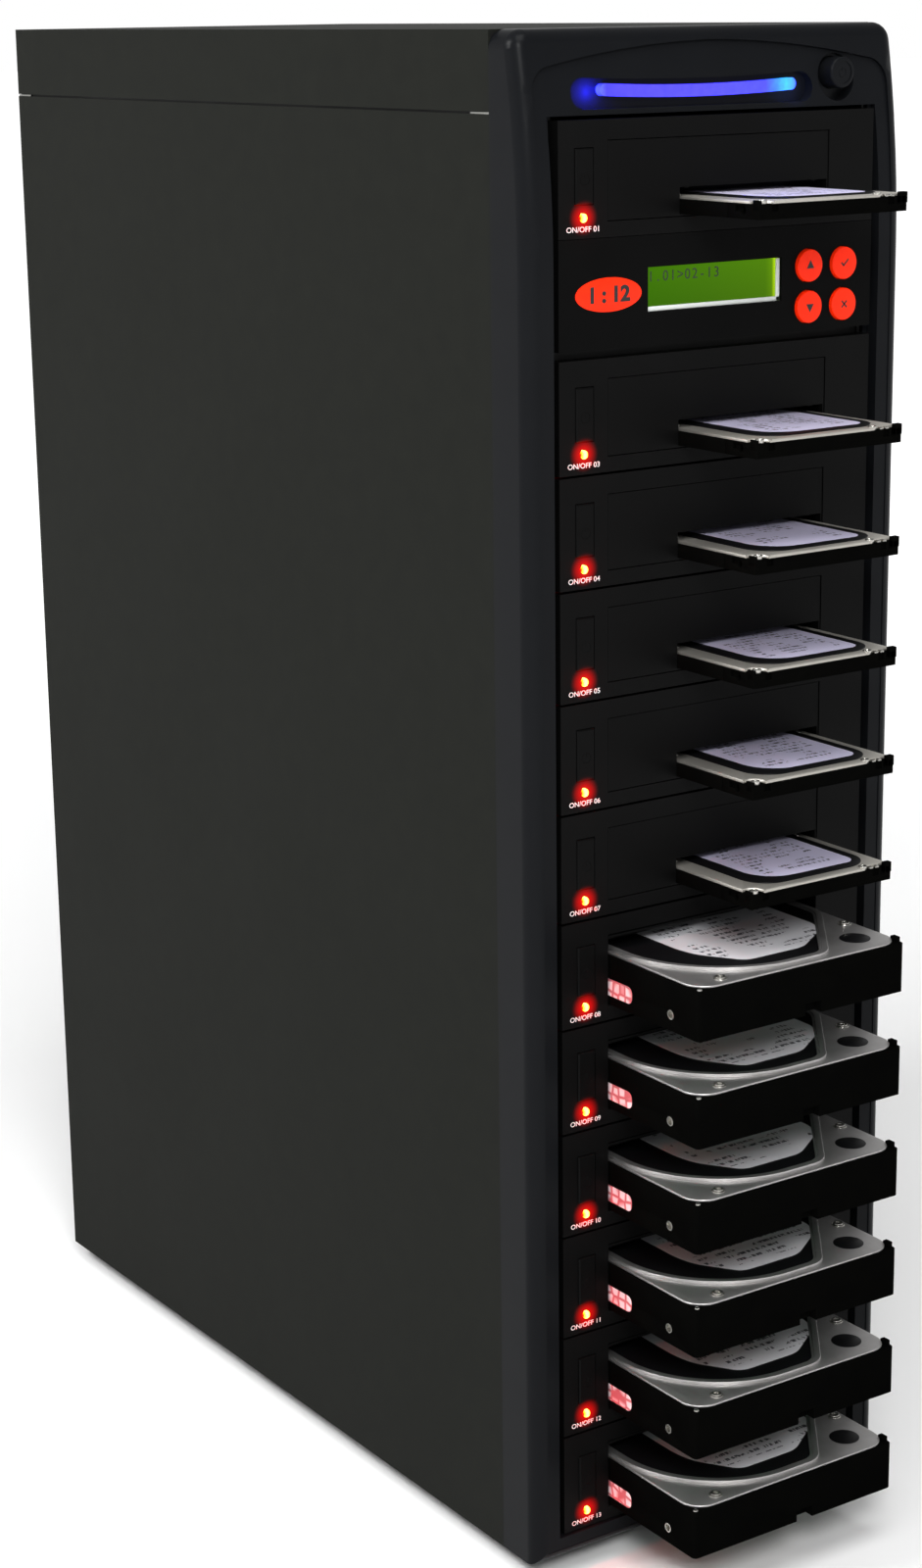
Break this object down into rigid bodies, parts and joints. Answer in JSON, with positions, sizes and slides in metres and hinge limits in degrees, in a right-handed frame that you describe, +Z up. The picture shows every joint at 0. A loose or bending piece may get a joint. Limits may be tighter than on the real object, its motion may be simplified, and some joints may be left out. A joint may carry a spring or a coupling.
{
  "type": "drive duplicator",
  "caption": "Tall tower that copies hard drives, with trayless racks for 2.5 inch and 3.5 inch drives, a keyed display panel, a light bar and a round power button.",
  "frame": {"origin": "middle of the footprint, on the surface the feet stand on", "axes": "+Z up, -Y towards the front with the drive bays, +X to the right as seen from the front"},
  "size_m": [0.178, 0.453, 0.6012],
  "materials": {
    "case_paint": "fine-textured black powder coat",
    "chassis_steel": "black painted sheet steel",
    "cage_plastic": "black glass-filled plastic",
    "bezel_plastic": "semi-gloss moulded black plastic",
    "rack_plastic": "fine-textured black plastic",
    "panel_plastic": "fine-textured black plastic",
    "light_bar": "clear light pipe, lit blue",
    "red_lens": "clear light pipe, lit red",
    "lcd_glass": "back-lit green display glass",
    "key_plastic": "orange-red keys",
    "circuit_board": "green solder mask",
    "drive_casting": "black coated cast aluminium with a brushed cover",
    "small_drive_casting": "black coated cast aluminium with a bright cover",
    "psu_steel": "grey zinc-coated sheet steel",
    "fan_plastic": "black glass-filled plastic",
    "foot_rubber": "black rubber"
  },
  "bodies": {
    "case": {"front_bezel": "bezel_plastic", "light_bar": "light_bar", "top_cover": "case_paint", "left_side_panel": "case_paint", "right_side_panel": "case_paint", "chassis": "chassis_steel", "rack_bezels": "rack_plastic", "rack_cages": "cage_plastic", "rack_boards": "circuit_board", "rack_doors": "rack_plastic", "status_lenses": "red_lens", "control_panel": "panel_plastic", "lcd_display": "lcd_glass", "controller_board": "circuit_board", "power_supply": "psu_steel", "power_switch": "fan_plastic", "fan_frame": "fan_plastic", "feet": "foot_rubber"},
    "large_drive_08": {"large_drive_08": "drive_casting"},
    "large_drive_09": {"large_drive_09": "drive_casting"},
    "large_drive_10": {"large_drive_10": "drive_casting"},
    "large_drive_11": {"large_drive_11": "drive_casting"},
    "large_drive_12": {"large_drive_12": "drive_casting"},
    "large_drive_13": {"large_drive_13": "drive_casting"},
    "small_drive_01": {"small_drive_01": "small_drive_casting"},
    "small_drive_03": {"small_drive_03": "small_drive_casting"},
    "small_drive_04": {"small_drive_04": "small_drive_casting"},
    "small_drive_05": {"small_drive_05": "small_drive_casting"},
    "small_drive_06": {"small_drive_06": "small_drive_casting"},
    "small_drive_07": {"small_drive_07": "small_drive_casting"},
    "rack_button_01": {"rack_button_01": "rack_plastic"},
    "rack_button_03": {"rack_button_03": "rack_plastic"},
    "rack_button_04": {"rack_button_04": "rack_plastic"},
    "rack_button_05": {"rack_button_05": "rack_plastic"},
    "rack_button_06": {"rack_button_06": "rack_plastic"},
    "rack_button_07": {"rack_button_07": "rack_plastic"},
    "rack_button_08": {"rack_button_08": "rack_plastic"},
    "rack_button_09": {"rack_button_09": "rack_plastic"},
    "rack_button_10": {"rack_button_10": "rack_plastic"},
    "rack_button_11": {"rack_button_11": "rack_plastic"},
    "rack_button_12": {"rack_button_12": "rack_plastic"},
    "rack_button_13": {"rack_button_13": "rack_plastic"},
    "key_up": {"key_up": "key_plastic"},
    "key_down": {"key_down": "key_plastic"},
    "key_enter": {"key_enter": "key_plastic"},
    "key_escape": {"key_escape": "key_plastic"},
    "power_button": {"power_button": "bezel_plastic"},
    "fan_rotor": {"fan_rotor": "fan_plastic"},
    "folding_door_08": {"folding_door_08": "rack_plastic"},
    "folding_door_09": {"folding_door_09": "rack_plastic"},
    "folding_door_10": {"folding_door_10": "rack_plastic"},
    "folding_door_11": {"folding_door_11": "rack_plastic"},
    "folding_door_12": {"folding_door_12": "rack_plastic"},
    "folding_door_13": {"folding_door_13": "rack_plastic"},
    "slot_flap_01": {"slot_flap_01": "rack_plastic"},
    "slot_flap_03": {"slot_flap_03": "rack_plastic"},
    "slot_flap_04": {"slot_flap_04": "rack_plastic"},
    "slot_flap_05": {"slot_flap_05": "rack_plastic"},
    "slot_flap_06": {"slot_flap_06": "rack_plastic"},
    "slot_flap_07": {"slot_flap_07": "rack_plastic"}
  },
  "joints": [
    {"name": "large_drive_08_slide", "type": "slide", "parent": "case", "child": "large_drive_08", "axis": [0, -1, 0], "range_m": [0, 0.095]},
    {"name": "large_drive_09_slide", "type": "slide", "parent": "case", "child": "large_drive_09", "axis": [0, -1, 0], "range_m": [0, 0.095]},
    {"name": "large_drive_10_slide", "type": "slide", "parent": "case", "child": "large_drive_10", "axis": [0, -1, 0], "range_m": [0, 0.095]},
    {"name": "large_drive_11_slide", "type": "slide", "parent": "case", "child": "large_drive_11", "axis": [0, -1, 0], "range_m": [0, 0.095]},
    {"name": "large_drive_12_slide", "type": "slide", "parent": "case", "child": "large_drive_12", "axis": [0, -1, 0], "range_m": [0, 0.095]},
    {"name": "large_drive_13_slide", "type": "slide", "parent": "case", "child": "large_drive_13", "axis": [0, -1, 0], "range_m": [0, 0.095]},
    {"name": "small_drive_01_slide", "type": "slide", "parent": "case", "child": "small_drive_01", "axis": [0, -1, 0], "range_m": [0, 0.058]},
    {"name": "small_drive_03_slide", "type": "slide", "parent": "case", "child": "small_drive_03", "axis": [0, -1, 0], "range_m": [0, 0.058]},
    {"name": "small_drive_04_slide", "type": "slide", "parent": "case", "child": "small_drive_04", "axis": [0, -1, 0], "range_m": [0, 0.058]},
    {"name": "small_drive_05_slide", "type": "slide", "parent": "case", "child": "small_drive_05", "axis": [0, -1, 0], "range_m": [0, 0.058]},
    {"name": "small_drive_06_slide", "type": "slide", "parent": "case", "child": "small_drive_06", "axis": [0, -1, 0], "range_m": [0, 0.058]},
    {"name": "small_drive_07_slide", "type": "slide", "parent": "case", "child": "small_drive_07", "axis": [0, -1, 0], "range_m": [0, 0.058]},
    {"name": "rack_button_01_press", "type": "slide", "parent": "case", "child": "rack_button_01", "axis": [0, 1, 0], "range_m": [0, 0.0015], "stiffness_N_per_m": 400},
    {"name": "rack_button_03_press", "type": "slide", "parent": "case", "child": "rack_button_03", "axis": [0, 1, 0], "range_m": [0, 0.0015], "stiffness_N_per_m": 400},
    {"name": "rack_button_04_press", "type": "slide", "parent": "case", "child": "rack_button_04", "axis": [0, 1, 0], "range_m": [0, 0.0015], "stiffness_N_per_m": 400},
    {"name": "rack_button_05_press", "type": "slide", "parent": "case", "child": "rack_button_05", "axis": [0, 1, 0], "range_m": [0, 0.0015], "stiffness_N_per_m": 400},
    {"name": "rack_button_06_press", "type": "slide", "parent": "case", "child": "rack_button_06", "axis": [0, 1, 0], "range_m": [0, 0.0015], "stiffness_N_per_m": 400},
    {"name": "rack_button_07_press", "type": "slide", "parent": "case", "child": "rack_button_07", "axis": [0, 1, 0], "range_m": [0, 0.0015], "stiffness_N_per_m": 400},
    {"name": "rack_button_08_press", "type": "slide", "parent": "case", "child": "rack_button_08", "axis": [0, 1, 0], "range_m": [0, 0.0015], "stiffness_N_per_m": 400},
    {"name": "rack_button_09_press", "type": "slide", "parent": "case", "child": "rack_button_09", "axis": [0, 1, 0], "range_m": [0, 0.0015], "stiffness_N_per_m": 400},
    {"name": "rack_button_10_press", "type": "slide", "parent": "case", "child": "rack_button_10", "axis": [0, 1, 0], "range_m": [0, 0.0015], "stiffness_N_per_m": 400},
    {"name": "rack_button_11_press", "type": "slide", "parent": "case", "child": "rack_button_11", "axis": [0, 1, 0], "range_m": [0, 0.0015], "stiffness_N_per_m": 400},
    {"name": "rack_button_12_press", "type": "slide", "parent": "case", "child": "rack_button_12", "axis": [0, 1, 0], "range_m": [0, 0.0015], "stiffness_N_per_m": 400},
    {"name": "rack_button_13_press", "type": "slide", "parent": "case", "child": "rack_button_13", "axis": [0, 1, 0], "range_m": [0, 0.0015], "stiffness_N_per_m": 400},
    {"name": "key_up_press", "type": "slide", "parent": "case", "child": "key_up", "axis": [0, 1, 0], "range_m": [0, 0.0012], "stiffness_N_per_m": 400},
    {"name": "key_down_press", "type": "slide", "parent": "case", "child": "key_down", "axis": [0, 1, 0], "range_m": [0, 0.0012], "stiffness_N_per_m": 400},
    {"name": "key_enter_press", "type": "slide", "parent": "case", "child": "key_enter", "axis": [0, 1, 0], "range_m": [0, 0.0012], "stiffness_N_per_m": 400},
    {"name": "key_escape_press", "type": "slide", "parent": "case", "child": "key_escape", "axis": [0, 1, 0], "range_m": [0, 0.0012], "stiffness_N_per_m": 400},
    {"name": "power_button_press", "type": "slide", "parent": "case", "child": "power_button", "axis": [0, 1, 0], "range_m": [0, 0.0025], "stiffness_N_per_m": 500},
    {"name": "fan_rotor_spin", "type": "hinge", "parent": "case", "child": "fan_rotor", "pos_m": [0, 0.2105, 0.25], "axis": [0, 1, 0], "continuous": true},
    {"name": "folding_door_08_hinge", "type": "hinge", "parent": "case", "child": "folding_door_08", "pos_m": [0, -0.1699, 0.2633], "axis": [1, 0, 0], "range_deg": [0, 11], "stiffness_Nm_per_rad": 0.001, "springref_deg": -89.95},
    {"name": "folding_door_09_hinge", "type": "hinge", "parent": "case", "child": "folding_door_09", "pos_m": [0, -0.1699, 0.2208], "axis": [1, 0, 0], "range_deg": [0, 11], "stiffness_Nm_per_rad": 0.001, "springref_deg": -89.95},
    {"name": "folding_door_10_hinge", "type": "hinge", "parent": "case", "child": "folding_door_10", "pos_m": [0, -0.1699, 0.1783], "axis": [1, 0, 0], "range_deg": [0, 11], "stiffness_Nm_per_rad": 0.001, "springref_deg": -89.95},
    {"name": "folding_door_11_hinge", "type": "hinge", "parent": "case", "child": "folding_door_11", "pos_m": [0, -0.1699, 0.1358], "axis": [1, 0, 0], "range_deg": [0, 11], "stiffness_Nm_per_rad": 0.001, "springref_deg": -89.95},
    {"name": "folding_door_12_hinge", "type": "hinge", "parent": "case", "child": "folding_door_12", "pos_m": [0, -0.1699, 0.0933], "axis": [1, 0, 0], "range_deg": [0, 11], "stiffness_Nm_per_rad": 0.001, "springref_deg": -89.95},
    {"name": "folding_door_13_hinge", "type": "hinge", "parent": "case", "child": "folding_door_13", "pos_m": [0, -0.1699, 0.0508], "axis": [1, 0, 0], "range_deg": [0, 11], "stiffness_Nm_per_rad": 0.001, "springref_deg": -89.95},
    {"name": "slot_flap_01_hinge", "type": "hinge", "parent": "case", "child": "slot_flap_01", "pos_m": [0.01615, -0.1679, 0.5452], "axis": [1, 0, 0], "range_deg": [0, 25], "stiffness_Nm_per_rad": 0.0001, "springref_deg": -89.95},
    {"name": "slot_flap_03_hinge", "type": "hinge", "parent": "case", "child": "slot_flap_03", "pos_m": [0.01615, -0.1679, 0.4602], "axis": [1, 0, 0], "range_deg": [0, 25], "stiffness_Nm_per_rad": 0.0001, "springref_deg": -89.95},
    {"name": "slot_flap_04_hinge", "type": "hinge", "parent": "case", "child": "slot_flap_04", "pos_m": [0.01615, -0.1679, 0.4177], "axis": [1, 0, 0], "range_deg": [0, 25], "stiffness_Nm_per_rad": 0.0001, "springref_deg": -89.95},
    {"name": "slot_flap_05_hinge", "type": "hinge", "parent": "case", "child": "slot_flap_05", "pos_m": [0.01615, -0.1679, 0.3752], "axis": [1, 0, 0], "range_deg": [0, 25], "stiffness_Nm_per_rad": 0.0001, "springref_deg": -89.95},
    {"name": "slot_flap_06_hinge", "type": "hinge", "parent": "case", "child": "slot_flap_06", "pos_m": [0.01615, -0.1679, 0.3327], "axis": [1, 0, 0], "range_deg": [0, 25], "stiffness_Nm_per_rad": 0.0001, "springref_deg": -89.95},
    {"name": "slot_flap_07_hinge", "type": "hinge", "parent": "case", "child": "slot_flap_07", "pos_m": [0.01615, -0.1679, 0.2902], "axis": [1, 0, 0], "range_deg": [0, 25], "stiffness_Nm_per_rad": 0.0001, "springref_deg": -89.95}
  ]
}
